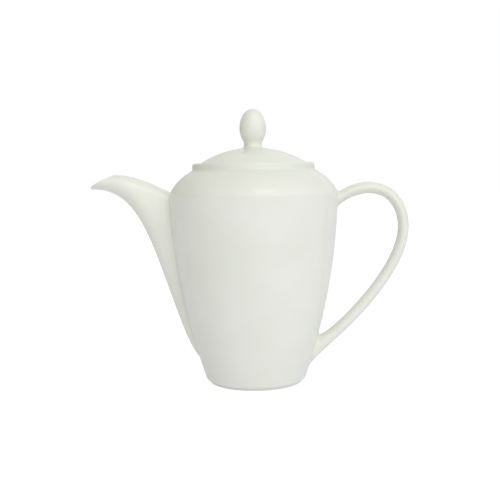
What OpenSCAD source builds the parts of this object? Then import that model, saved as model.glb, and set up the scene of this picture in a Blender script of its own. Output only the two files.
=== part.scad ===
// Glazed porcelain coffee pot with a lift-off lid.
// Millimetres. +Z is up, the pot stands on z = 0, its axis is the Z axis,
// the spout points to -X and the handle to +X.

/* [Body] */
// Radius the wall would have at the table
base_r = 34.1; // [33.6:0.1:34.6]
// Radius gained per unit of height at the foot of the wall
base_flare = 0.35; // [0.34:0.005:0.36]
// Radius of the crease between the wall and the shoulder
crease_r = 58.6; // [58.2:0.1:59]
// Height of the crease
crease_z = 132; // [131.5:0.1:132.5]
// Thickness of the wall
wall_t = 4; // [3.4:0.1:4.6]
// Height of the floor's upper face
floor_z = 7; // [6.5:0.1:8]
// Radius of the curve between the floor and the wall
floor_round = 9; // [6:0.5:10]

/* [Foot] */
// Outer radius of the foot ring
foot_r = 32.4; // [31.5:0.1:32.8]
// Width of the foot ring
foot_w = 4.6; // [3.5:0.1:6]
// Height of the foot ring
foot_h = 1.4; // [1:0.1:1.8]
// Depth of the recess under the floor
recess_z = 3; // [2.6:0.1:3.4]
// Rounding of the ring's edges
foot_round = 0.6; // [0.4:0.1:0.6]
// Height at which the rounded heel meets the wall
heel_z = 4; // [3.8:0.1:4.2]
// Radius of the heel's curve
heel_curve = 3.4; // [3.3:0.1:5]

/* [Shoulder and collar] */
// Radius of the shoulder's curve
shoulder_curve = 32; // [26:0.5:40]
// Outer radius of the upright collar
collar_r = 42.4; // [42.2:0.1:42.8]
// Height of the foot of the collar
collar_foot_z = 148.3; // [148:0.1:148.6]
// Height of the collar's top edge
collar_top_z = 153.3; // [153:0.1:153.6]
// Thickness of the collar
collar_t = 4; // [3.8:0.1:4.1]
// Rounding of the collar's edges
collar_round = 1.7; // [1:0.1:1.9]
// Height of the ledge that the lid sits on
seat_z = 149.1; // [148.9:0.1:149.3]
// Radius of the mouth inside the ledge
mouth_r = 35.2; // [34.8:0.1:35.6]

/* [Spout] */
// Half width of the spout where it joins the wall
spout_root_w = 12; // [11:0.1:13]
// Half width of the spout at its mouth
spout_mouth_w = 8.8; // [8.4:0.1:9.4]
// Thickness of the spout at the wall
spout_t = 3.2; // [2.8:0.1:3.4]
// Thickness of the spout's lip
lip_t = 2.2; // [1.8:0.1:2.4]
// Width of the hole through the wall behind the spout
throat_w = 14; // [10:0.5:14]
// Height of the lower end of that hole
throat_low_z = 32; // [30:1:36]
// Height of the upper end of that hole
throat_top_z = 106; // [92:1:110]

/* [Handle] */
// Thickness of the handle where it is thinnest, half way along
handle_t = 7.5; // [7:0.1:8]
// Width of the handle seen from its back
handle_w = 12.6; // [11:0.1:14]
// Extra thickness that it gains towards the wall
handle_swell = 0.8; // [0.4:0.1:1.6]

/* [Lid] */
// Outer radius of the lid's rim
lid_r = 38; // [37.6:0.1:38]
// Gap between the rim and the ledge under it
lid_gap = 0.2; // [0.1:0.1:0.4]
// Radius of the dome
dome_curve = 69; // [66:1:72]
// Height of the dome's crown
dome_top_z = 164; // [163.6:0.1:164.4]
// Thickness of the dome
dome_t = 4; // [3.6:0.1:4.4]
// Outer radius of the locating flange
flange_r = 34.2; // [33.8:0.1:34.2]
// Thickness of the locating flange
flange_t = 3; // [2.6:0.1:3.4]
// Height of the flange's lower edge
flange_low_z = 135.5; // [133:0.5:140]
// Diameter of the vent hole
vent_d = 3.5; // [3:0.1:4.5]
// Distance of the vent hole from the axis
vent_r = 24; // [20:0.5:27]

/* [Knob] */
// Largest radius of the knob
knob_r = 9.2; // [8.8:0.1:9.6]
// Height of the knob's widest part
knob_wide_z = 177.1; // [176.1:0.1:178.1]
// Height of the knob's tip
knob_top_z = 190.7; // [189.6:0.1:192]
// Length of the egg below its widest part
knob_low_len = 12.6; // [12:0.1:13.2]
// Radius of the neck under the knob
neck_r = 5.8; // [5.6:0.1:6.2]
// Radius of the hollow curve from the neck to the dome
neck_curve = 2.9; // [2.6:0.1:3.4]

/* [Hidden] */

glaze_colour = "#E4E6DA";
biscuit_colour = "#EAE4D4";

turn_fn = 128;      // facets of a turned shape in a quick view
wall_steps = 14;    // straight stretches that make up the curved wall
arc_steps = 8;      // stretches in a rounded corner or a short curve
dome_steps = 16;    // stretches across the dome
egg_steps = 12;     // stretches in each half of the knob
skin = 0.03;        // hair's breadth between the body and what is luted to it
edge_round = 0.4;   // softening of the small inner edges

// How much the wall's flare falls off with the square of the height
wall_curve = (base_r + base_flare * crease_z - crease_r) / (crease_z * crease_z);
collar_in_r = collar_r - collar_t;

// ---------- plane curves ----------

function mix(a, b, t) = a + (b - a) * t;

function perp(v) = [-v.y, v.x];

// Centre of the arc of radius r from a to b, on the right of the way from a to b
function arc_centre(a, b, r) =
    let (half = norm(b - a) / 2)
    (a + b) / 2 - perp(b - a) / norm(b - a) * sqrt(r * r - half * half);

// Points of that arc, turning to the left from a to b, both ends included
function arc(a, b, r, steps) =
    let (c = arc_centre(b, a, r),
         from = atan2(a.y - c.y, a.x - c.x),
         raw = atan2(b.y - c.y, b.x - c.x) - from,
         sweep = raw < 0 ? raw + 360 : raw)
    [for (i = [0:steps]) c + r * [cos(from + sweep * i / steps), sin(from + sweep * i / steps)]];

// Points of an arc round c, from one angle to another
function turn(c, r, from, to, steps) =
    [for (i = [0:steps]) c + r * [cos(mix(from, to, i / steps)), sin(mix(from, to, i / steps))]];

// Point at t on the smooth curve that a list of control points draws
function bezier(p, t) =
    len(p) == 1 ? p[0] : bezier([for (i = [0:len(p) - 2]) mix(p[i], p[i + 1], t)], t);

function reverse(list) = [for (i = [len(list) - 1:-1:0]) list[i]];

// ---------- the outside of the body, which the spout and handle are fitted to ----------

crease = [crease_r, crease_z];
collar_foot = [collar_r, collar_foot_z];
shoulder_centre = arc_centre(collar_foot, crease, shoulder_curve);

function wall_r(z) = base_r + base_flare * z - wall_curve * z * z;

function shoulder_r(z) =
    shoulder_centre.x + sqrt(pow(shoulder_curve, 2) - pow(z - shoulder_centre.y, 2));

function outside_r(z) = z <= crease_z ? wall_r(z) : shoulder_r(z);

// Distance from the axial plane to the body's outside, at height z and y across
function outside_x(y, z) = sqrt(pow(outside_r(z) + skin, 2) - y * y);

// ---------- body ----------

module turned(profile) {
    rotate_extrude($fn = turn_fn) polygon(profile);
}

module pot_body() {
    heel_top = [wall_r(heel_z), heel_z];
    heel = arc([foot_r, foot_h], heel_top, heel_curve, arc_steps);
    wall_out = [for (i = [1:wall_steps]) let (z = mix(heel_z, crease_z, i / wall_steps)) [wall_r(z), z]];
    shoulder_out = arc(crease, collar_foot, shoulder_curve, arc_steps);
    lip_z = collar_top_z - collar_round;
    collar = concat(
        turn([collar_r - collar_round, lip_z], collar_round, 0, 90, arc_steps / 2),
        turn([collar_in_r + collar_round, lip_z], collar_round, 90, 180, arc_steps / 2));
    ledge = concat(
        [[collar_in_r, seat_z]],
        turn([mouth_r + edge_round, seat_z - edge_round], edge_round, 90, 180, arc_steps / 2));
    neck_low = [mouth_r, collar_foot_z - wall_t];
    inner_crease_z = crease_z - wall_t / 2;
    shoulder_in = arc([wall_r(inner_crease_z) - wall_t, inner_crease_z], neck_low,
                      shoulder_curve - wall_t, arc_steps);
    inner_low_z = floor_z + floor_round;
    wall_in = [for (i = [1:wall_steps - 1])
        let (z = mix(inner_low_z, inner_crease_z, i / wall_steps)) [wall_r(z) - wall_t, z]];
    floor_r = wall_r(inner_low_z) - wall_t - floor_round;
    floor_in = turn([floor_r, inner_low_z], floor_round, -90, 0, arc_steps);
    color(glaze_colour)
    difference() {
        turned(concat(
            [[0, recess_z], [foot_r - foot_w - recess_z, recess_z], [foot_r - foot_w, foot_h]],
            heel, wall_out, [for (i = [1:arc_steps]) shoulder_out[i]], collar, ledge,
            reverse(shoulder_in), reverse(wall_in), reverse(floor_in), [[0, floor_z]]));
        throat();
    }
}

// Hole through the wall behind the spout: a slot with round ends
module throat() {
    reach = crease_r + wall_t;
    r = throat_w / 2;
    rotate([0, -90, 0]) {
        translate([throat_low_z + r, 0, 0]) cylinder(r = r, h = reach, $fn = turn_fn);
        translate([throat_top_z - r, 0, 0]) cylinder(r = r, h = reach, $fn = turn_fn);
        translate([throat_low_z + r, -r, 0]) cube([throat_top_z - throat_low_z - throat_w, throat_w, reach]);
    }
}

module foot_ring() {
    inner = foot_r - foot_w;
    color(biscuit_colour)
    turned(concat(
        [[foot_r, foot_h], [inner, foot_h]],
        turn([inner + foot_round, foot_round], foot_round, 180, 270, arc_steps / 2),
        turn([foot_r - foot_round, foot_round], foot_round, 270, 360, arc_steps / 2)));
}

// ---------- spout ----------

// Control points [x, z] of the spout's keel and back, outside and inside
keel_out = [[-43.6, 19], [-63.6, 65.9], [-72.2, 108.9], [-84.5, 137.8], [-115.2, 136.5]];
back_out = [[-58.4, 133.3], [-71.6, 140.2], [-85.5, 146.4], [-97.1, 146.4]];
lip_step = lip_t * [0.6, 0.8];
keel_in = keel_out + [[-0.4, 9], [2.4, 4.2], [2, -0.4], [1.7, 1.7], lip_step];
back_in = back_out + [[-0.2, -4.8], [-1, -3.4], [-0.6, -3], -lip_step];
// Heights between which the spout meets the wall, outside and inside
root_out = [14.9, 133.5];
root_in = [24.1, 128.7];

spout_steps = 26;   // rings along the spout
spout_sides = 32;   // points round each ring
ring_crowd = 1.5;   // how much closer together the rings are near the wall
toe_fade = 45;      // how quickly the keel and back leave the wall
root_fade = 8;      // how quickly the roundness of the wall fades out along the spout

// Point of the spout at t along it (0 wall, 1 mouth) and a degrees round it (270 keel, 90 back)
function spout_point(t, a, keel, back, root, root_w, mouth_w) =
    let (square = mix(0.8, 1, t),
         s = (1 + sin(a)) / 2,
         c = cos(a),
         y = mix(root_w, mouth_w, t) * mix(0.75, 1, pow(s, 0.6)) * sign(c) * pow(abs(c), square),
         flat = mix(bezier(keel, t), bezier(back, t), s),
         toe = mix(on_wall(0, root[0]) - keel[0], on_wall(0, root[1]) - back[0], s),
         start = mix(keel[0], back[0], s),
         round = on_wall(y, mix(root[0], root[1], s)) - start - toe,
         p = flat + toe * pow(1 - t, toe_fade) + round * pow(1 - t, root_fade))
    [p.x, y, p.y];

// Point [x, z] on the spout's side of the body, at height z and y across
function on_wall(y, z) = [-outside_x(y, z), z];

function spout_ring(t, keel, back, root, root_w, mouth_w) =
    [for (i = [0:spout_sides - 1])
        spout_point(t, -360 * i / spout_sides, keel, back, root, root_w, mouth_w)];

function spout_outer(t) = spout_ring(t, keel_out, back_out, root_out, spout_root_w, spout_mouth_w);

function spout_inner(t) =
    spout_ring(t, keel_in, back_in, root_in, spout_root_w - spout_t, spout_mouth_w - lip_t);

// Rings that round the lip over from the outside to the inside
lip_steps = 4;
lip_up = [-0.5, 0, 0.86] * lip_t / 2;

function lip_ring(k) =
    let (outer = spout_outer(1), inner = spout_inner(1), a = 180 * k / lip_steps)
    [for (i = [0:spout_sides - 1]) mix(outer[i], inner[i], (1 - cos(a)) / 2) + lip_up * sin(a)];

// Skin over rings of points; ring is the number of points in each
function skin_faces(rings, sides, closed) =
    [for (j = [0:closed ? rings - 1 : rings - 2], i = [0:sides - 1])
        let (k = (j + 1) % rings, n = (i + 1) % sides)
        each [[j * sides + i, k * sides + n, j * sides + n],
              [j * sides + i, k * sides + i, k * sides + n]]];

module spout() {
    ts = [for (j = [0:spout_steps]) pow(j / spout_steps, ring_crowd)];
    rings = concat(
        [for (t = ts) spout_outer(t)],
        [for (k = [1:lip_steps - 1]) lip_ring(k)],
        [for (t = reverse(ts)) spout_inner(t)]);
    color(glaze_colour)
    polyhedron([for (r = rings) each r], skin_faces(len(rings), spout_sides, true));
}

// ---------- handle ----------

// Control points [x, z] of the handle's middle line, from the shoulder over the top and down
handle_runs = [
    [[58.6, 127.4], [61, 130.3], [71.3, 135.3], [79.2, 135.3]],
    [[79.2, 135.3], [93.1, 135.3], [103.3, 124.8], [103.3, 107.8]],
    [[103.3, 107.8], [103.3, 79], [62.2, 37.4], [41.6, 22.4]]];
// Middle height, half height and half width of each root on the wall
top_root = [127.6, 5.8, 8.4];
low_root = [22.6, 12.5, 8.2];

handle_sides = 24;
run_steps = [12, 12, 26];
top_reach = 0.12;   // share of the handle's length over which the upper root flares
low_reach = 0.2;    // the same at the lower root
lean_reach = 0.2;   // share over which the sections turn from upright to square
swell_power = 1.5;  // how late the extra thickness comes in towards the wall
cap_rings = 3;      // rings that close each root against the wall

handle_count = run_steps[0] + run_steps[1] + run_steps[2];

function handle_mid(k) =
    k <= run_steps[0] ? bezier(handle_runs[0], k / run_steps[0])
    : k <= run_steps[0] + run_steps[1] ? bezier(handle_runs[1], (k - run_steps[0]) / run_steps[1])
    : bezier(handle_runs[2], (k - run_steps[0] - run_steps[1]) / run_steps[2]);

function handle_way(k) =
    unit(handle_mid(min(k + 1, handle_count)) - handle_mid(max(k - 1, 0)));

function unit(v) = v / norm(v);

// How far ring k is from each end, as 1 at the wall falling to 0 at reach
function near_top(k, reach) = max(0, 1 - k / handle_count / reach);

function near_low(k, reach) = near_top(handle_count - k, reach);

// Section of the handle: square to its middle line, and upright near the wall
function handle_ring(k) =
    let (m = handle_mid(k),
         square = perp(handle_way(k)),
         upright = mix(square, [0, 1], near_top(k, lean_reach)),
         across = unit(mix(upright, [0, -1], near_low(k, lean_reach))),
         half_t = (handle_t + handle_swell * pow(abs(2 * k / handle_count - 1), swell_power)) / 2)
    [for (i = [0:handle_sides - 1])
        let (a = 360 * i / handle_sides, p = m + across * half_t * sin(a))
        [p.x, handle_w / 2 * cos(a), p.y]];

// Outline of a root on the wall, shrunk towards its middle by size
function root_ring(root, size, flip) =
    [for (i = [0:handle_sides - 1])
        let (a = 360 * i / handle_sides,
             y = root[2] * size * cos(a),
             z = root[0] + flip * root[1] * size * sin(a))
        [outside_x(y, z), y, z]];

function blend_ring(a, b, t) = [for (i = [0:handle_sides - 1]) mix(a[i], b[i], t)];

// Rings flare smoothly into the root's outline on the wall
function shaped_ring(k) =
    let (free = handle_ring(k),
         top = pow(near_top(k, top_reach), 3),
         low = pow(near_low(k, low_reach), 3))
    top > 0 ? blend_ring(free, root_ring(top_root, 1, 1), top)
    : low > 0 ? blend_ring(free, root_ring(low_root, 1, -1), low)
    : free;

module handle() {
    sizes = [for (c = [1:cap_rings - 1]) c / cap_rings];
    rings = concat(
        [for (s = sizes) root_ring(top_root, s, 1)],
        [for (k = [0:handle_count]) shaped_ring(k)],
        [for (s = reverse(sizes)) root_ring(low_root, s, -1)]);
    points = concat([for (r = rings) each r],
                    [root_ring(top_root, 0, 1)[0], root_ring(low_root, 0, -1)[0]]);
    last = (len(rings) - 1) * handle_sides;
    top_tip = len(points) - 2;
    low_tip = len(points) - 1;
    caps = [for (i = [0:handle_sides - 1])
        let (n = (i + 1) % handle_sides)
        each [[top_tip, i, n], [low_tip, last + n, last + i]]];
    color(glaze_colour)
    polyhedron(points, concat(skin_faces(len(rings), handle_sides, false), caps));
}

// ---------- lid ----------

function dome_z(r) = dome_top_z - dome_curve + sqrt(dome_curve * dome_curve - r * r);

knob_foot_r = neck_r + neck_curve;
lid_low_z = seat_z + lid_gap;
under_curve = dome_curve - dome_t;
flange_in_r = flange_r - flange_t;

function under_z(r) = dome_top_z - dome_curve + sqrt(under_curve * under_curve - r * r);

module lid() {
    edge_r = lid_r - 0.8;
    dome = [for (i = [0:dome_steps]) let (r = mix(edge_r, knob_foot_r, i / dome_steps)) [r, dome_z(r)]];
    under = [for (i = [0:dome_steps]) let (r = mix(0, flange_in_r, i / dome_steps)) [r, under_z(r)]];
    rim = [[flange_in_r, lid_low_z], [lid_r - edge_round, lid_low_z], [lid_r, lid_low_z + edge_round],
           [lid_r, dome_z(edge_r) - 0.6]];
    color(glaze_colour)
    difference() {
        turned(concat(under, rim, dome, [[0, dome_z(knob_foot_r)]]));
        translate([vent_r, 0, lid_low_z])
            cylinder(d = vent_d, h = dome_top_z - lid_low_z, $fn = 48);
    }
}

module lid_flange() {
    color(glaze_colour)
    turned(concat(
        [[flange_r, lid_low_z], [flange_in_r, lid_low_z]],
        turn([flange_in_r + edge_round, flange_low_z + edge_round], edge_round, 180, 270, arc_steps / 2),
        turn([flange_r - edge_round, flange_low_z + edge_round], edge_round, 270, 360, arc_steps / 2)));
}

module lid_knob() {
    foot_z = dome_z(knob_foot_r);
    neck_low_z = foot_z + neck_curve;
    neck_high_a = acos(neck_r / knob_r);
    hollow = turn([knob_foot_r, neck_low_z], neck_curve, 270, 180, arc_steps);
    lower = [for (i = [0:egg_steps - 1])
        let (a = mix(-neck_high_a, 0, i / egg_steps))
        [knob_r * cos(a), knob_wide_z + knob_low_len * sin(a)]];
    upper = [for (i = [0:egg_steps - 1])
        let (a = 90 * i / egg_steps)
        [knob_r * cos(a), knob_wide_z + (knob_top_z - knob_wide_z) * sin(a)]];
    color(glaze_colour)
    turned(concat([[0, foot_z]], hollow, lower, upper, [[0, knob_top_z]]));
}

pot_body();
foot_ring();
spout();
handle();
lid();
lid_flange();
lid_knob();
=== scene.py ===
"""A porcelain coffee pot with a swan-neck spout, a loop handle and a loose domed lid.

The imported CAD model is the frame. Every CAD node is replaced by a finer piece that follows the same
outlines, with glaze-softened edges and rounded joints. Lengths here are in millimetres, with +Z up,
the pot's axis on Z, the spout towards -X and the handle towards +X; they become metres in piece().
"""
import math

import bmesh
import bpy
import numpy as np
from mathutils import Matrix, Vector


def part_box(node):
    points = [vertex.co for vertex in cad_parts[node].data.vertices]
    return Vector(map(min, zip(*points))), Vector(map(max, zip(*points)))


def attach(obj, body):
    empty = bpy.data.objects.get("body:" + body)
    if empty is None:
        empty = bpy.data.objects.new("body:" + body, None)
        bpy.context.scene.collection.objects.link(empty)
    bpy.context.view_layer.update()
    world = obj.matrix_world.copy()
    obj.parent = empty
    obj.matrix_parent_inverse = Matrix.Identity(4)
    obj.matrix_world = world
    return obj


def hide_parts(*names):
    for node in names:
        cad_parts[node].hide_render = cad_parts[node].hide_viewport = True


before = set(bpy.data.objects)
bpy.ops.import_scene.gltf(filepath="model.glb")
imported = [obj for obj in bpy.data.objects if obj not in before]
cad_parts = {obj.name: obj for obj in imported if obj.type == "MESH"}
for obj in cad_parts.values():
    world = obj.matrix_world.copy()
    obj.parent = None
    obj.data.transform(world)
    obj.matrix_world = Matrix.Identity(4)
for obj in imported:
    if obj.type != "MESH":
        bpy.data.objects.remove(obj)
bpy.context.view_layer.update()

MM = 0.001


def corners(node):
    """Lowest and highest corner of a CAD node, in millimetres."""
    low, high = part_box(node)
    return Vector(low) / MM, Vector(high) / MM


# ---------------------------------------------------------------- sizes, in millimetres

body_low, body_high = corners("pot_body")
ring_high = corners("foot_ring")[1]
lid_low, lid_high = corners("lid")
flange_low, flange_high = corners("lid_flange")
knob_high = corners("lid_knob")[1]

# Body
BASE_R = 34.1           # radius that the wall would have at the table
BASE_FLARE = 0.35       # radius gained per unit of height at the foot of the wall
CREASE_R = min(body_high.x, body_high.y)
CREASE_Z = 132.0        # where the wall turns into the shoulder
WALL_T = 4.0
FLOOR_Z = 7.0
FLOOR_ROUND = 9.0
FOOT_R = ring_high.x
FOOT_H = body_low.z
FOOT_IN_R = FOOT_R - 4.6
RECESS_Z = 3.0          # height of the floor's underside inside the ring
HEEL_Z = 4.0
HEEL_CURVE = 3.4
SHOULDER_CURVE = 32.0
COLLAR_R = 42.4
COLLAR_T = 4.0
COLLAR_FOOT_Z = 148.3
COLLAR_TOP_Z = body_high.z
COLLAR_ROUND = 1.7
SEAT_Z = 149.1
MOUTH_R = 35.2
THROAT_W = 14.0         # the slot through the wall behind the spout
THROAT_Z = (32.0, 106.0)

# Spout: control points [x, z] of its keel and back, and the heights of its root on the wall
KEEL_OUT = np.array([[-43.6, 19], [-63.6, 65.9], [-72.2, 108.9], [-84.5, 137.8], [-115.2, 136.5]])
BACK_OUT = np.array([[-58.4, 133.3], [-71.6, 140.2], [-85.5, 146.4], [-97.1, 146.4]])
LIP_T = 2.2
LIP_STEP = LIP_T * np.array([0.6, 0.8])
KEEL_IN = KEEL_OUT + [[-0.4, 9], [2.4, 4.2], [2, -0.4], [1.7, 1.7], LIP_STEP]
BACK_IN = BACK_OUT + [[-0.2, -4.8], [-1, -3.4], [-0.6, -3], -LIP_STEP]
ROOT_OUT = (14.9, 133.5)
ROOT_IN = (24.1, 128.7)
SPOUT_ROOT_W = 12.0
SPOUT_MOUTH_W = 8.8
SPOUT_T = 3.2
TOE_FADE = 45           # how soon the slopes at the root's ends give way to the keel and back
ROOT_FADE = 8           # and the wall's roundness to the spout's own
RING_CROWDING = 1.6     # puts more of the rings near the root
LIP_CROWN = np.array([-0.5, 0, 0.86]) * LIP_T / 2

# Handle: three smooth runs [x, z] of its middle line, and mid height, half height, half width of its roots
HANDLE_RUNS = [np.array(run) for run in (
    [[58.6, 127.4], [61, 130.3], [71.3, 135.3], [79.2, 135.3]],
    [[79.2, 135.3], [93.1, 135.3], [103.3, 124.8], [103.3, 107.8]],
    [[103.3, 107.8], [103.3, 79], [62.2, 37.4], [41.6, 22.4]])]
HANDLE_SHARES = (0.24, 0.24, 0.52)
HANDLE_T = 7.5
HANDLE_SWELL = 0.8
HANDLE_W = 12.6
TOP_ROOT = (127.6, 5.8, 8.4)
LOW_ROOT = (22.6, 12.5, 8.2)
TOP_REACH = 0.12
LOW_REACH = 0.2
LEAN_REACH = 0.2

# Lid
LID_R = lid_high.x
LID_LOW_Z = lid_low.z
DOME_CURVE = 69.0
DOME_TOP_Z = 164.0
DOME_T = 4.0
FLANGE_R = flange_high.x
FLANGE_T = 3.0
FLANGE_LOW_Z = flange_low.z
VENT_D = 3.5
VENT_R = 24.0
KNOB_R = 9.2
KNOB_WIDE_Z = 177.1
KNOB_TOP_Z = knob_high.z
KNOB_LOW_LEN = 12.6
NECK_R = 5.8
NECK_CURVE = 2.9

# How far to each side of a corner its rounding reaches
CREASE_SOFT = 0.9
COLLAR_FOOT_SOFT = 1.8
SEAT_CORNER_SOFT = 0.4
MOUTH_SOFT = 0.7
INNER_NECK_SOFT = 0.9
RECESS_SOFT = 0.8
LID_RIM_SOFT = 0.5
KNOB_NECK_SOFT = 2.2

# Small edges
FOOT_ROUND = 0.6
FLANGE_ROUND = 0.6
LID_RIM_IN = 0.8        # how far in from the rim the dome starts
LID_RIM_DROP = 0.6      # and how far below the dome's edge the rim's corner lies
SPOUT_FILLET = 0.7
HANDLE_TOP_FILLET = 1.3
HANDLE_LOW_FILLET = 1.5
SINK = 0.08             # how far the feathered edge of a joint lies under the wall's surface

# Fineness of the meshes
TURN_STEPS = 256
KNOB_STEPS = 128
SPOUT_SIDES = 96
SPOUT_RINGS = 150
HANDLE_SIDES = 72
HANDLE_RINGS = 221
SHARP_ANGLE = math.radians(38)


# ---------------------------------------------------------------- plane curves

def mix(a, b, t):
    return a + (b - a) * t


def unit(v):
    return v / np.linalg.norm(v, axis=-1, keepdims=True)


def bezier(points, t):
    """Points at each t on the smooth curve that a list of control points draws."""
    layer = [np.asarray(p, float)[None, :] for p in points]
    t = np.asarray(t, float)[:, None]
    while len(layer) > 1:
        layer = [mix(a, b, t) for a, b in zip(layer, layer[1:])]
    return layer[0]


def turn(centre, radius, start, end, steps=12):
    """Points of an arc round centre, from one angle to another, in degrees."""
    a = np.radians(np.linspace(start, end, steps + 1))
    return np.asarray(centre, float) + radius * np.column_stack([np.cos(a), np.sin(a)])


def arc_centre(a, b, radius):
    """Centre, on the left of the way, of the arc of that radius from a to b."""
    a, b = np.asarray(a, float), np.asarray(b, float)
    half = np.linalg.norm(b - a) / 2
    left = np.array([-(b - a)[1], (b - a)[0]]) / (2 * half)
    return (a + b) / 2 + left * math.sqrt(radius ** 2 - half ** 2)


def arc(a, b, radius, steps=32):
    """Points of that arc, both ends included. It bulges to the right of the way."""
    c = arc_centre(a, b, radius)
    start = math.degrees(math.atan2(a[1] - c[1], a[0] - c[0]))
    end = math.degrees(math.atan2(b[1] - c[1], b[0] - c[0]))
    return turn(c, radius, start, end if end > start else end + 360, steps)


def lengths(path):
    """Distance along a path to each of its points."""
    steps = np.linalg.norm(np.diff(path, axis=0), axis=1)
    return np.concatenate([[0], np.cumsum(steps)])


def along(path, where):
    """Points at those distances along a path."""
    s = lengths(path)
    return np.column_stack([np.interp(where, s, path[:, k]) for k in range(path.shape[1])])


def softened(curve, corner, reach, steps=10):
    """The curve with the corner nearest to that point rounded off over reach on both sides."""
    i = int(np.argmin(np.linalg.norm(curve - np.asarray(corner, float), axis=1)))
    s = lengths(curve)
    before, after = s[i] - reach, s[i] + reach
    start, end = along(curve, [before, after])
    bend = bezier([start, curve[i], end], np.linspace(0, 1, steps + 1))
    return np.vstack([curve[s < before - 1e-6], bend, curve[s > after + 1e-6]])


# ---------------------------------------------------------------- the body's outside

WALL_CURVE = (BASE_R + BASE_FLARE * CREASE_Z - CREASE_R) / CREASE_Z ** 2
CREASE = (CREASE_R, CREASE_Z)
COLLAR_FOOT = (COLLAR_R, COLLAR_FOOT_Z)
COLLAR_IN_R = COLLAR_R - COLLAR_T
SHOULDER_CENTRE = arc_centre(CREASE, COLLAR_FOOT, SHOULDER_CURVE)


def wall_r(z):
    return BASE_R + BASE_FLARE * z - WALL_CURVE * z ** 2


def outside_r(z):
    rise = np.clip(z - SHOULDER_CENTRE[1], 0, SHOULDER_CURVE)
    shoulder = SHOULDER_CENTRE[0] + np.sqrt(SHOULDER_CURVE ** 2 - rise ** 2)
    return np.where(z <= CREASE_Z, wall_r(z), shoulder)


def outside_x(y, z):
    """Distance from the axial plane to the body's outside, at height z and y across."""
    return np.sqrt(outside_r(z) ** 2 - y ** 2)


def sunk(points, depth):
    """Those points moved on to the body's outside, or depth under it."""
    radius = outside_r(points[:, 2]) - depth
    scale = radius / np.hypot(points[:, 0], points[:, 1])
    return points * np.column_stack([scale, scale, np.ones_like(scale)])


# ---------------------------------------------------------------- meshes

def smooth_mesh(name, points, faces):
    """A closed mesh in metres with its normals outwards."""
    mesh = bpy.data.meshes.new(name)
    mesh.from_pydata((np.asarray(points) * MM).tolist(), [], faces)
    bm = bmesh.new()
    bm.from_mesh(mesh)
    bmesh.ops.remove_doubles(bm, verts=bm.verts, dist=1e-7)
    bmesh.ops.recalc_face_normals(bm, faces=bm.faces)
    bm.to_mesh(mesh)
    bm.free()
    return mesh


def finish_mesh(mesh, pooling_and_shade):
    """Smooth shading, and at each point, from 0 to 1, how much a greener pooled-glaze tint and painted
    shade darken the glaze.
    """
    mesh.shade_smooth()
    mesh.set_sharp_from_angle(angle=SHARP_ANGLE)
    co = np.empty(len(mesh.vertices) * 3, np.float32)
    mesh.vertices.foreach_get("co", co)
    pool_and_shade = mesh.attributes.new("pool_and_shade", "FLOAT", "POINT")
    pool_and_shade.data.foreach_set("value", np.clip(pooling_and_shade(co.reshape(-1, 3) / MM), 0, 1).astype(np.float32))


def turned_mesh(name, profile, steps=TURN_STEPS):
    """The solid that an outline [r, z] sweeps round the axis. Its ends may lie on the axis."""
    a = np.linspace(0, 2 * math.pi, steps, endpoint=False)
    around = np.column_stack([np.cos(a), np.sin(a)])
    points, rings = [], []
    for r, z in profile:
        count = 1 if r < 1e-6 else steps
        rings.append(range(len(points), len(points) + count))
        points.extend([(0, 0, z)] if count == 1 else [(r * x, r * y, z) for x, y in around])
    if len(rings[0]) > 1:
        rings.append(rings[0])
    faces = []
    for low, high in zip(rings, rings[1:]):
        for i in range(steps):
            n = (i + 1) % steps
            quad = [low[i % len(low)], low[n % len(low)], high[n % len(high)], high[i % len(high)]]
            face = list(dict.fromkeys(quad))
            if len(face) > 2:
                faces.append(face)
    return smooth_mesh(name, points, faces)


def skin_faces(rings, sides, closed):
    """Quads over rings of points, each ring with that many sides."""
    faces = []
    for j in range(rings if closed else rings - 1):
        k = (j + 1) % rings
        for i in range(sides):
            n = (i + 1) % sides
            faces.append([j * sides + i, j * sides + n, k * sides + n, k * sides + i])
    return faces


def rounded_root(rings, reach, steps=9):
    """Rings that start on the wall, with their first stretch bent to leave the wall smoothly."""
    foot = rings[0]
    centre = foot.mean(axis=0)
    across = unit(np.roll(foot, -1, axis=0) - np.roll(foot, 1, axis=0))
    radial = unit(foot * [1, 1, 0])
    out = unit(np.cross(across, radial))
    out *= np.sign(np.sum(out * (foot - centre), axis=1))[:, None]
    edge = sunk(foot + out * reach, SINK)
    bent = np.empty((steps + len(rings) - 1, len(foot), 3))
    for i in range(len(foot)):
        path = rings[:, i]
        s = lengths(path)
        where = reach + s * (1 - reach / s[-1])
        kept = along(path, where)
        bent[:steps, i] = bezier([edge[i], foot[i], kept[0]], np.linspace(0, 1, steps + 1))[:steps]
        bent[steps:, i] = kept[1:]
    return bent


def cut(mesh, cutter_mesh):
    """The mesh with the space of a closed mesh taken out of it."""
    whole = bpy.data.objects.new("cut_whole", mesh)
    cutter = bpy.data.objects.new("cutter", cutter_mesh)
    for obj in (whole, cutter):
        bpy.context.scene.collection.objects.link(obj)
    modifier = whole.modifiers.new("cut", "BOOLEAN")
    modifier.operation = "DIFFERENCE"
    modifier.solver = "EXACT"
    modifier.object = cutter
    evaluated = whole.evaluated_get(bpy.context.evaluated_depsgraph_get())
    result = bpy.data.meshes.new_from_object(evaluated)
    for obj in (whole, cutter):
        bpy.data.objects.remove(obj)
    return result


def prism(name, outline, low, high, place):
    """A straight closed bar with that outline, from low to high, put in place by a function."""
    count = len(outline)
    ends = [[place(u, v, w) for u, v in outline] for w in (low, high)]
    faces = skin_faces(2, count, False) + [list(range(count))[::-1], list(range(count, 2 * count))]
    return smooth_mesh(name, np.array(ends).reshape(-1, 3), faces)


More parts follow.
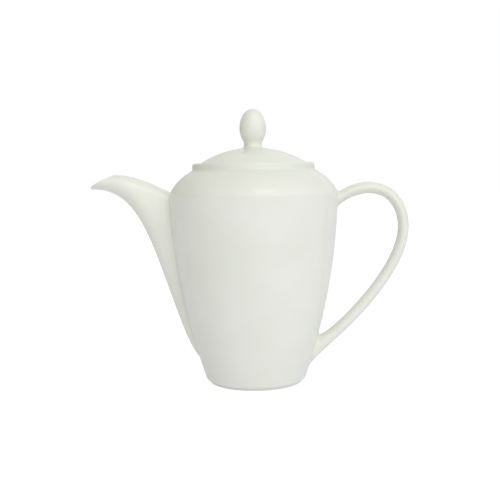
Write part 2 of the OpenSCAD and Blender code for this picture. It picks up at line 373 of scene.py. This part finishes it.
def piece(name, mesh, material, body, node):
    """A shown piece that stands for a CAD node and rides on its body."""
    obj = bpy.data.objects.new(name, mesh)
    bpy.context.scene.collection.objects.link(obj)
    mesh.materials.clear()
    mesh.materials.append(material)
    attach(obj, body)
    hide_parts(node)
    return obj


# ---------------------------------------------------------------- materials

def shader(name):
    """A new node material, with its tree and its Principled shader."""
    material = bpy.data.materials.new(name)
    material.use_nodes = True
    tree = material.node_tree
    return material, tree, tree.nodes["Principled BSDF"]


def add(tree, kind, inputs=None, **settings):
    """A node of that kind; inputs maps socket names to values or to the sockets that feed them."""
    node = tree.nodes.new(kind)
    for key, value in settings.items():
        setattr(node, key, value)
    for key, value in (inputs or {}).items():
        if isinstance(value, bpy.types.NodeSocket):
            tree.links.new(value, node.inputs[key])
        else:
            node.inputs[key].default_value = value
    return node


def noise(tree, place, scale, detail=3.0, roughness=0.5):
    return add(tree, "ShaderNodeTexNoise",
               {"Vector": place, "Scale": scale, "Detail": detail, "Roughness": roughness}).outputs["Fac"]


def ramp(tree, value, low, high, to_low=0.0, to_high=1.0):
    """Value stretched from low..high to to_low..to_high, and held there outside it."""
    return add(tree, "ShaderNodeMapRange",
               {"Value": value, "From Min": low, "From Max": high, "To Min": to_low,
                "To Max": to_high}).outputs["Result"]


def blend_colour(tree, share, first, second):
    node = tree.nodes.new("ShaderNodeMix")
    node.data_type = "RGBA"
    for key, value in (("Factor_Float", share), ("A_Color", first), ("B_Color", second)):
        socket = next(s for s in node.inputs if s.identifier == key)
        if isinstance(value, bpy.types.NodeSocket):
            tree.links.new(value, socket)
        else:
            socket.default_value = value
    return next(s for s in node.outputs if s.identifier == "Result_Color")


def maths(tree, operation, first, second):
    return add(tree, "ShaderNodeMath", {0: first, 1: second}, operation=operation).outputs[0]


def glaze_material():
    """Clear gloss glaze over off-white porcelain: faint clouds of tint, and a greener pooled-glaze tint
    with painted shade, darker in the hollows, at the joints and at the heel.
    """
    material, tree, principled = shader("gloss_glaze")
    place = add(tree, "ShaderNodeTexCoord").outputs["Object"]
    clear = (0.80, 0.81, 0.745, 1)
    cloudy = (0.765, 0.785, 0.70, 1)
    pooled_and_shaded = (0.735, 0.755, 0.665, 1)
    speck = (0.36, 0.31, 0.24, 1)
    clouds = ramp(tree, noise(tree, place, 22.0), 0.35, 0.7)
    colour = blend_colour(tree, clouds, clear, cloudy)
    # Painted shade: this mask darkens the glaze in the hollows, at the joints and at the heel, where shade
    # falls; only its greener tint stands for pooled glaze.
    pool_and_shade = add(tree, "ShaderNodeAttribute", attribute_name="pool_and_shade").outputs["Fac"]
    colour = blend_colour(tree, pool_and_shade, colour, pooled_and_shaded)
    cells = add(tree, "ShaderNodeTexVoronoi", {"Vector": place, "Scale": 95.0, "Randomness": 1.0})
    near = ramp(tree, cells.outputs["Distance"], 0.012, 0.03, 1.0, 0.0)
    chosen = add(tree, "ShaderNodeSeparateColor", {"Color": cells.outputs["Color"]}).outputs[0]
    rare = ramp(tree, chosen, 0.93, 0.95)
    speckle = maths(tree, "MULTIPLY", maths(tree, "MULTIPLY", near, rare), 0.5)
    colour = blend_colour(tree, speckle, colour, speck)
    tree.links.new(colour, principled.inputs["Base Color"])
    smudges = ramp(tree, noise(tree, place, 60.0, 4.0), 0.3, 0.75, 0.36, 0.5)
    tree.links.new(smudges, principled.inputs["Roughness"])
    waves = add(tree, "ShaderNodeBump",
                {"Strength": 0.35, "Distance": 0.0004, "Height": noise(tree, place, 30.0, 1.0)})
    peel = add(tree, "ShaderNodeBump",
               {"Strength": 0.12, "Distance": 0.00003, "Height": noise(tree, place, 850.0, 2.0),
                "Normal": waves.outputs["Normal"]})
    tree.links.new(peel.outputs["Normal"], principled.inputs["Normal"])
    tree.links.new(peel.outputs["Normal"], principled.inputs["Coat Normal"])
    principled.inputs["Specular IOR Level"].default_value = 0.2
    principled.inputs["Coat Weight"].default_value = 0.75
    principled.inputs["Coat Roughness"].default_value = 0.07
    principled.inputs["Coat IOR"].default_value = 1.5
    return material


def biscuit_material():
    """Bare ground porcelain, matt and finely grained, a little worn and soiled where it rubs."""
    material, tree, principled = shader("bare_porcelain")
    place = add(tree, "ShaderNodeTexCoord").outputs["Object"]
    clean = (0.79, 0.775, 0.72, 1)
    soiled = (0.68, 0.655, 0.59, 1)
    grain = noise(tree, place, 1400.0, 3.0, 0.7)
    wear = ramp(tree, noise(tree, place, 140.0, 4.0, 0.6), 0.45, 0.8)
    colour = blend_colour(tree, wear, clean, soiled)
    tree.links.new(colour, principled.inputs["Base Color"])
    tree.links.new(ramp(tree, grain, 0.2, 0.8, 0.72, 0.92), principled.inputs["Roughness"])
    bump = add(tree, "ShaderNodeBump", {"Strength": 0.5, "Distance": 0.00008, "Height": grain})
    tree.links.new(bump.outputs["Normal"], principled.inputs["Normal"])
    return material


glaze = glaze_material()
biscuit = biscuit_material()


# ---------------------------------------------------------------- body

def bump_round(value, centre, width):
    """1 at centre, falling off smoothly over width."""
    return np.exp(-((value - centre) / width) ** 2)


def body_profile():
    """Outline of the body, from the axis under the floor, up the outside and back down the inside."""
    heel_top = (wall_r(HEEL_Z), HEEL_Z)
    z = np.linspace(HEEL_Z, CREASE_Z, 90)
    inner_crease_z = CREASE_Z - WALL_T / 2
    inner_low_z = FLOOR_Z + FLOOR_ROUND
    z_in = np.linspace(inner_low_z, inner_crease_z, 50)
    neck_low = (MOUTH_R, COLLAR_FOOT_Z - WALL_T)
    lip_z = COLLAR_TOP_Z - COLLAR_ROUND
    floor_centre = (wall_r(inner_low_z) - WALL_T - FLOOR_ROUND, inner_low_z)
    recess_corner = (FOOT_IN_R - RECESS_Z, RECESS_Z)
    curve = np.vstack([
        [(0, RECESS_Z), recess_corner, (FOOT_IN_R, FOOT_H)],
        arc((FOOT_R, FOOT_H), heel_top, HEEL_CURVE, 12),
        np.column_stack([wall_r(z), z])[1:],
        arc(CREASE, COLLAR_FOOT, SHOULDER_CURVE, 40)[1:],
        turn((COLLAR_R - COLLAR_ROUND, lip_z), COLLAR_ROUND, 0, 90),
        turn((COLLAR_IN_R + COLLAR_ROUND, lip_z), COLLAR_ROUND, 90, 180),
        [(COLLAR_IN_R, SEAT_Z), (MOUTH_R, SEAT_Z)],
        arc((wall_r(inner_crease_z) - WALL_T, inner_crease_z), neck_low, SHOULDER_CURVE - WALL_T)[::-1],
        np.column_stack([wall_r(z_in) - WALL_T, z_in])[1:-1][::-1],
        turn(floor_centre, FLOOR_ROUND, 0, -90),
        [(0, FLOOR_Z)]])
    for corner, reach in ((CREASE, CREASE_SOFT), (COLLAR_FOOT, COLLAR_FOOT_SOFT),
                          ((COLLAR_IN_R, SEAT_Z), SEAT_CORNER_SOFT), ((MOUTH_R, SEAT_Z), MOUTH_SOFT),
                          (neck_low, INNER_NECK_SOFT), (recess_corner, RECESS_SOFT)):
        curve = softened(curve, corner, reach)
    return curve


def throat_cutter():
    """The slot with round ends that lets the coffee into the spout."""
    half = THROAT_W / 2
    low, high = THROAT_Z[0] + half, THROAT_Z[1] - half
    outline = np.vstack([turn((0, high), half, 0, 180, 24), turn((0, low), half, 180, 360, 24)])
    return prism("throat", outline, CREASE_R * 0.3, CREASE_R + WALL_T, lambda y, z, out: (-out, y, z))


def body_pool_and_shade(co):
    """Painted shade, with a greener pooled-glaze tint, a little at the collar's foot, outside, and at the
    heel by the table.
    """
    outside = np.hypot(co[:, 0], co[:, 1]) > MOUTH_R + 2
    at_collar = 0.3 * bump_round(co[:, 2], COLLAR_FOOT_Z + 0.3, 0.9) * outside
    at_heel = 0.2 * bump_round(co[:, 2], FOOT_H, 1.5)
    return at_collar + at_heel


body_mesh = cut(turned_mesh("glazed_body", body_profile()), throat_cutter())
finish_mesh(body_mesh, body_pool_and_shade)
piece("glazed_body", body_mesh, glaze, "pot", "pot_body")

foot_mesh = turned_mesh("bare_foot_ring", np.vstack([
    [(FOOT_R, FOOT_H), (FOOT_IN_R, FOOT_H)],
    turn((FOOT_IN_R + FOOT_ROUND, FOOT_ROUND), FOOT_ROUND, 180, 270),
    turn((FOOT_R - FOOT_ROUND, FOOT_ROUND), FOOT_ROUND, 270, 360)]))
finish_mesh(foot_mesh, lambda co: np.zeros(len(co)))
piece("bare_foot_ring", foot_mesh, biscuit, "pot", "foot_ring")


# ---------------------------------------------------------------- spout

def on_wall(y, z):
    """Points [x, z] on the spout's side of the body, at heights z and y across."""
    return np.stack([-outside_x(y, z), z + 0 * y], axis=-1)


def spout_rings(t, keel, back, root, root_w, mouth_w):
    """Rings of the spout's skin at each t along it, from 0 at the wall to 1 at the mouth."""
    a = -2 * math.pi * np.arange(SPOUT_SIDES) / SPOUT_SIDES
    s = (1 + np.sin(a)) / 2
    c = np.cos(a)
    t1 = np.asarray(t)[:, None]
    width = mix(root_w, mouth_w, t1) * mix(0.75, 1, s ** 0.6)
    y = width * np.sign(c) * np.abs(c) ** mix(0.8, 1, t1)
    t2, s2 = t1[:, :, None], s[None, :, None]
    flat = mix(bezier(keel, t)[:, None], bezier(back, t)[:, None], s2)
    toe = mix(on_wall(np.zeros(1), root[0]) - keel[0], on_wall(np.zeros(1), root[1]) - back[0], s[:, None])
    start = mix(keel[0], back[0], s[:, None])
    bulge = on_wall(y, mix(root[0], root[1], s)[None, :]) - start - toe
    p = flat + toe * (1 - t2) ** TOE_FADE + bulge * (1 - t2) ** ROOT_FADE
    return np.stack([p[..., 0], y, p[..., 1]], axis=-1)


def spout_mesh():
    """The spout's outer skin, its rounded lip and its inner skin, as one closed mesh."""
    t = np.linspace(0, 1, SPOUT_RINGS) ** RING_CROWDING
    outer = spout_rings(t, KEEL_OUT, BACK_OUT, ROOT_OUT, SPOUT_ROOT_W, SPOUT_MOUTH_W)
    inner = spout_rings(t, KEEL_IN, BACK_IN, ROOT_IN, SPOUT_ROOT_W - SPOUT_T, SPOUT_MOUTH_W - LIP_T)
    a = np.linspace(0, math.pi, 13)[1:-1, None, None]
    lip = mix(outer[-1], inner[-1], (1 - np.cos(a)) / 2) + LIP_CROWN * np.sin(a)
    outer = rounded_root(outer, SPOUT_FILLET)
    inner[0] = sunk(inner[0], SINK)
    rings = np.concatenate([outer, lip, inner[::-1]])
    return smooth_mesh("glazed_spout", rings.reshape(-1, 3), skin_faces(len(rings), SPOUT_SIDES, True))


def root_pool_and_shade(co):
    """Painted shade, with a greener pooled-glaze tint, in the hollow where a piece is luted to the wall."""
    proud = np.hypot(co[:, 0], co[:, 1]) - outside_r(co[:, 2])
    return 0.35 * bump_round(proud, 0, 0.6)


spout = spout_mesh()
finish_mesh(spout, root_pool_and_shade)
piece("glazed_spout", spout, glaze, "pot", "spout")


# ---------------------------------------------------------------- handle

def handle_mids(k):
    """Points [x, z] of the middle line at each k from 0, at the shoulder, to 1, low on the wall."""
    ends = np.cumsum((0,) + HANDLE_SHARES)
    mids = np.empty((len(k), 2))
    for run, start, end in zip(HANDLE_RUNS, ends, ends[1:]):
        inside = (k >= start - 1e-9) & (k <= end + 1e-9)
        mids[inside] = bezier(run, (k[inside] - start) / (end - start))
    return mids


def root_ring(root, flip):
    """The handle's outline on the wall; flip keeps its points in step with the grip's."""
    a = 2 * math.pi * np.arange(HANDLE_SIDES) / HANDLE_SIDES
    y = root[2] * np.cos(a)
    z = root[0] + flip * root[1] * np.sin(a)
    return np.column_stack([outside_x(y, z), y, z])


def handle_mesh():
    """The grip, swept along its middle line and opening out to its two roots on the wall."""
    k = np.linspace(0, 1, HANDLE_RINGS)
    mids = handle_mids(k)
    way = unit(np.gradient(mids, axis=0))
    square = np.column_stack([-way[:, 1], way[:, 0]])
    from_top = np.clip(1 - k / LEAN_REACH, 0, None)[:, None]
    from_low = np.clip(1 - (1 - k) / LEAN_REACH, 0, None)[:, None]
    across = mix(square, np.array([0, 1.0]), from_top)
    across = unit(mix(across, np.array([0, -1.0]), from_low))
    half_t = (HANDLE_T + HANDLE_SWELL * np.abs(2 * k - 1) ** 1.5) / 2
    a = 2 * math.pi * np.arange(HANDLE_SIDES) / HANDLE_SIDES
    p = mids[:, None] + across[:, None] * (half_t[:, None] * np.sin(a))[:, :, None]
    y = np.broadcast_to(HANDLE_W / 2 * np.cos(a), p.shape[:2])
    rings = np.stack([p[..., 0], y, p[..., 1]], axis=-1)
    top = (np.clip(1 - k / TOP_REACH, 0, None) ** 3)[:, None, None]
    low = (np.clip(1 - (1 - k) / LOW_REACH, 0, None) ** 3)[:, None, None]
    rings = mix(rings, root_ring(TOP_ROOT, 1), top)
    rings = mix(rings, root_ring(LOW_ROOT, -1), low)
    rings = rounded_root(rings, HANDLE_TOP_FILLET)
    rings = rounded_root(rings[::-1], HANDLE_LOW_FILLET)[::-1]
    tips = [sunk(ring.mean(axis=0)[None], WALL_T / 2) for ring in (rings[0], rings[-1])]
    points = np.vstack([rings.reshape(-1, 3), *tips])
    faces = skin_faces(len(rings), HANDLE_SIDES, False)
    last = (len(rings) - 1) * HANDLE_SIDES
    for i in range(HANDLE_SIDES):
        n = (i + 1) % HANDLE_SIDES
        faces.append([len(points) - 2, n, i])
        faces.append([len(points) - 1, last + i, last + n])
    return smooth_mesh("glazed_handle", points, faces)


handle = handle_mesh()
finish_mesh(handle, root_pool_and_shade)
piece("glazed_handle", handle, glaze, "pot", "handle")


# ---------------------------------------------------------------- lid

DOME_CENTRE_Z = DOME_TOP_Z - DOME_CURVE
UNDER_CURVE = DOME_CURVE - DOME_T
FLANGE_IN_R = FLANGE_R - FLANGE_T
HOLLOW_R = NECK_R + NECK_CURVE
HOLLOW_Z = DOME_CENTRE_Z + math.sqrt((DOME_CURVE + NECK_CURVE) ** 2 - HOLLOW_R ** 2)
KNOB_FOOT_R = HOLLOW_R * DOME_CURVE / (DOME_CURVE + NECK_CURVE)


def dome_z(r):
    return DOME_CENTRE_Z + np.sqrt(DOME_CURVE ** 2 - r ** 2)


def under_z(r):
    return DOME_CENTRE_Z + np.sqrt(UNDER_CURVE ** 2 - r ** 2)


def lid_profile():
    edge_r = LID_R - LID_RIM_IN
    rim_top = (LID_R, dome_z(edge_r) - LID_RIM_DROP)
    r_under = np.linspace(0, FLANGE_IN_R, 24)
    r_dome = np.linspace(edge_r, KNOB_FOOT_R, 48)
    curve = np.vstack([
        np.column_stack([r_under, under_z(r_under)]),
        [(FLANGE_IN_R, LID_LOW_Z), (LID_R, LID_LOW_Z), rim_top],
        np.column_stack([r_dome, dome_z(r_dome)]),
        [(0, dome_z(KNOB_FOOT_R))]])
    for corner in ((LID_R, LID_LOW_Z), rim_top, (edge_r, dome_z(edge_r))):
        curve = softened(curve, corner, LID_RIM_SOFT)
    return curve


def vent_cutter():
    outline = turn((VENT_R, 0), VENT_D / 2, 0, 360, 48)[:-1]
    return prism("vent", outline, LID_LOW_Z, DOME_TOP_Z + DOME_T, lambda x, y, z: (x, y, z))


def knob_profile():
    foot_z = dome_z(KNOB_FOOT_R)
    foot_a = math.degrees(math.atan2(foot_z - HOLLOW_Z, KNOB_FOOT_R - HOLLOW_R)) % 360
    neck_a = math.acos(NECK_R / KNOB_R)
    top_len = KNOB_TOP_Z - KNOB_WIDE_Z
    lower = np.linspace(-neck_a, 0, 28)[:-1]
    upper = np.linspace(0, math.pi / 2, 36)
    curve = np.vstack([
        [(0, foot_z)],
        turn((HOLLOW_R, HOLLOW_Z), NECK_CURVE, foot_a, 180, 16),
        np.column_stack([KNOB_R * np.cos(lower), KNOB_WIDE_Z + KNOB_LOW_LEN * np.sin(lower)]),
        np.column_stack([KNOB_R * np.cos(upper), KNOB_WIDE_Z + top_len * np.sin(upper)])])
    curve[-1, 0] = 0
    return softened(curve, (NECK_R, HOLLOW_Z), KNOB_NECK_SOFT)


def flange_profile():
    low_z = FLANGE_LOW_Z + FLANGE_ROUND
    return np.vstack([
        [(FLANGE_R, LID_LOW_Z), (FLANGE_IN_R, LID_LOW_Z)],
        turn((FLANGE_IN_R + FLANGE_ROUND, low_z), FLANGE_ROUND, 180, 270),
        turn((FLANGE_R - FLANGE_ROUND, low_z), FLANGE_ROUND, 270, 360)])


def neck_pool_and_shade(co):
    """Painted shade, with a greener pooled-glaze tint, in the hollow round the knob's foot."""
    return 0.25 * bump_round(co[:, 2], dome_z(KNOB_FOOT_R) + 0.6, 1.2) * (np.hypot(co[:, 0], co[:, 1]) < 14)


lid_mesh = cut(turned_mesh("glazed_lid", lid_profile()), vent_cutter())
finish_mesh(lid_mesh, neck_pool_and_shade)
piece("glazed_lid", lid_mesh, glaze, "lid", "lid")

flange_mesh = turned_mesh("glazed_flange", flange_profile())
finish_mesh(flange_mesh, lambda co: np.zeros(len(co)))
piece("glazed_flange", flange_mesh, glaze, "lid", "lid_flange")

knob_mesh = turned_mesh("glazed_knob", knob_profile(), KNOB_STEPS)
finish_mesh(knob_mesh, neck_pool_and_shade)
piece("glazed_knob", knob_mesh, glaze, "lid", "lid_knob")


# ---------------------------------------------------------------- camera

EYE_DISTANCE = 0.56
EYE_HEIGHT = 0.1416
EYE_AZIMUTH = math.radians(4)
FOCAL_WIDTHS = 1.6          # focal length over the picture's width
AIM_LEFT = 4.5 / 800        # tangent of the small turn to the left of the axis
AIM_DOWN = 70 / 800         # tangent of the downward tilt
ROLL = math.radians(0.85)   # the pot leans a little to the left in the picture

forward = Vector((-math.sin(EYE_AZIMUTH), math.cos(EYE_AZIMUTH), 0))
right = Vector((math.cos(EYE_AZIMUTH), math.sin(EYE_AZIMUTH), 0))
up = Vector((0, 0, 1))
turned_forward = (forward - AIM_LEFT * right).normalized()
turned_right = (right + AIM_LEFT * forward).normalized()
aim = (turned_forward - AIM_DOWN * up).normalized()
level_up = (up + AIM_DOWN * turned_forward).normalized()
camera_x = math.cos(ROLL) * turned_right - math.sin(ROLL) * level_up
camera_y = math.sin(ROLL) * turned_right + math.cos(ROLL) * level_up

camera_data = bpy.data.cameras.new("camera")
camera_data.sensor_width = 36
camera_data.lens = FOCAL_WIDTHS * camera_data.sensor_width
camera_data.clip_start = 0.01
camera = bpy.data.objects.new("camera", camera_data)
bpy.context.scene.collection.objects.link(camera)
camera.matrix_world = Matrix.Translation(-EYE_DISTANCE * forward + EYE_HEIGHT * up) @ Matrix(
    (camera_x, camera_y, -aim)).transposed().to_4x4()
bpy.context.scene.camera = camera


# ---------------------------------------------------------------- floor and light

STAGE_R = 6.0               # the backdrop's radius, in metres, inside every view's clipping distance
FLOOR_R = STAGE_R * 1.1     # the floor passes through the backdrop, so no horizon shows
TABLE_DROP = 0.001
FLOOR_GLOW = (0.75, 0.75, 0.75)
BACKDROP_GLOW = (1, 1, 1)
TABLE_GLOW = (0.31, 0.305, 0.355)


def stage_material(name, diffuse, glow):
    """White paper lit from its own side, so that it stays white wherever the light falls."""
    material, _, principled = shader(name)
    principled.inputs["Base Color"].default_value = (diffuse, diffuse, diffuse, 1)
    principled.inputs["Roughness"].default_value = 1.0
    principled.inputs["Specular IOR Level"].default_value = 0.0
    principled.inputs["Emission Color"].default_value = (*glow, 1)
    principled.inputs["Emission Strength"].default_value = 1.0
    return material


def stage_object(name, mesh, material):
    mesh.materials.append(material)
    obj = bpy.data.objects.new(name, mesh)
    bpy.context.scene.collection.objects.link(obj)
    return obj


def disc_mesh(name, radius, sides=64):
    ring = [(radius * math.cos(2 * math.pi * i / sides), radius * math.sin(2 * math.pi * i / sides), 0)
            for i in range(sides)]
    mesh = bpy.data.meshes.new(name)
    mesh.from_pydata(ring, [], [list(range(sides))])
    return mesh


def dome_mesh(name, radius):
    """A sphere all round the stage."""
    mesh = bpy.data.meshes.new(name)
    bm = bmesh.new()
    bmesh.ops.create_uvsphere(bm, u_segments=48, v_segments=24, radius=radius)
    bm.to_mesh(mesh)
    bm.free()
    return mesh


# Only the camera sees the floor and the backdrop; a dimmer table under the floor throws light back up
floor = stage_object("floor", disc_mesh("floor", FLOOR_R), stage_material("pale_floor", 0.45, FLOOR_GLOW))
backdrop = stage_object("backdrop", dome_mesh("backdrop", STAGE_R),
                        stage_material("pale_backdrop", 0.0, BACKDROP_GLOW))
for shown in (floor, backdrop):
    for kind in ("diffuse", "glossy", "transmission", "shadow", "volume_scatter"):
        setattr(shown, f"visible_{kind}", False)
table = stage_object("table", disc_mesh("table", FLOOR_R), stage_material("dim_table", 0.55, TABLE_GLOW))
table.location.z = -TABLE_DROP
table.visible_camera = False


def toward(azimuth, elevation):
    """The direction to a light. Azimuth 0 is in front of the pot, 90 on the handle's side."""
    a, e = math.radians(azimuth), math.radians(elevation)
    return math.sin(a) * math.cos(e), -math.cos(a) * math.cos(e), math.sin(e)


def facing(tree, direction, way):
    """Cosine of the angle between each direction and one way."""
    node = add(tree, "ShaderNodeVectorMath", {0: direction, 1: way}, operation="DOT_PRODUCT")
    return node.outputs["Value"]


# Each soft light: azimuth, elevation, half width and softness in degrees, and its colour and radiance
SOFT_LIGHTS = (
    (-10, 12, 5, 50, (0.70, 0.70, 0.66)),
    (40, 12, 5, 50, (0.84, 0.84, 0.83)),
    (45, 45, 5, 50, (0.60, 0.58, 0.72)),
    (0, 85, 5, 50, (0.20, 0.21, 0.15)),
    (150, 30, 5, 50, (0.42, 0.42, 0.49)),
    (-160, 35, 5, 50, (0.34, 0.35, 0.34)),
    (22, 54, 7, 4, (1.60, 1.60, 1.50)),
)
ROOM_LIGHT = (0.280, 0.285, 0.245, 1)

world = bpy.data.worlds.new("studio")
world.use_nodes = True
bpy.context.scene.world = world
sky = world.node_tree
sky.nodes.clear()
direction = add(sky, "ShaderNodeTexCoord").outputs["Generated"]
light = add(sky, "ShaderNodeBackground", {"Color": ROOM_LIGHT}).outputs[0]
for azimuth, elevation, half, soft, colour in SOFT_LIGHTS:
    near = facing(sky, direction, toward(azimuth, elevation))
    outer, inner = math.cos(math.radians(half + soft)), math.cos(math.radians(half))
    lobe = add(sky, "ShaderNodeBackground",
               {"Color": (*colour, 1), "Strength": ramp(sky, near, outer, inner)})
    light = add(sky, "ShaderNodeAddShader", {0: light, 1: lobe.outputs[0]}).outputs[0]
add(sky, "ShaderNodeOutputWorld", {"Surface": light})

bpy.context.scene.view_settings.view_transform = "Standard"
